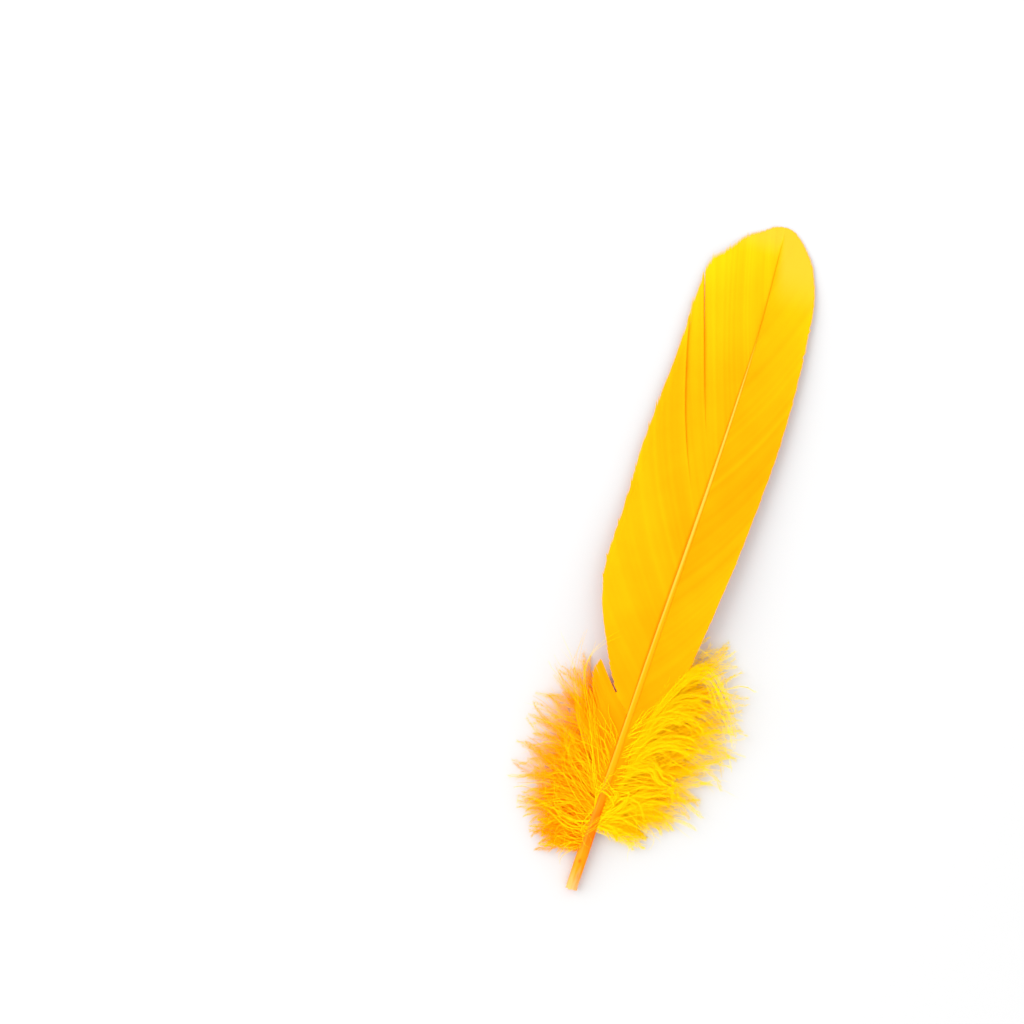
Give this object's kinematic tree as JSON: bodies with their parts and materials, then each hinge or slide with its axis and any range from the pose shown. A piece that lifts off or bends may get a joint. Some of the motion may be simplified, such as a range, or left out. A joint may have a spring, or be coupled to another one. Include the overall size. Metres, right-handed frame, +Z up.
{
  "type": "goose quill feather",
  "caption": "Dyed goose quill feather lying flat: horny shaft with a cut hollow end, two curved webs and loose down at their foot.",
  "frame": {"origin": "middle of the feather's own box, on the surface that it lies on", "axes": "+Y from the cut end of the quill to the tip of the vanes, +X to the right of that, +Z up, out of the back (outer) side of the feather"},
  "size_m": [0.0497, 0.175, 0.0073],
  "materials": {
    "dyed_quill": "translucent horn of the shaft, dyed amber and yellow, smooth",
    "dyed_vane": "hooked barbs dyed golden yellow, silky matt",
    "dyed_down": "loose fluffy barbs dyed golden yellow"
  },
  "bodies": {
    "root": {"quill_shaft": "dyed_quill", "vane_left": "dyed_vane", "vane_right": "dyed_vane", "down_left": "dyed_down", "down_right": "dyed_down"}
  },
  "joints": []
}
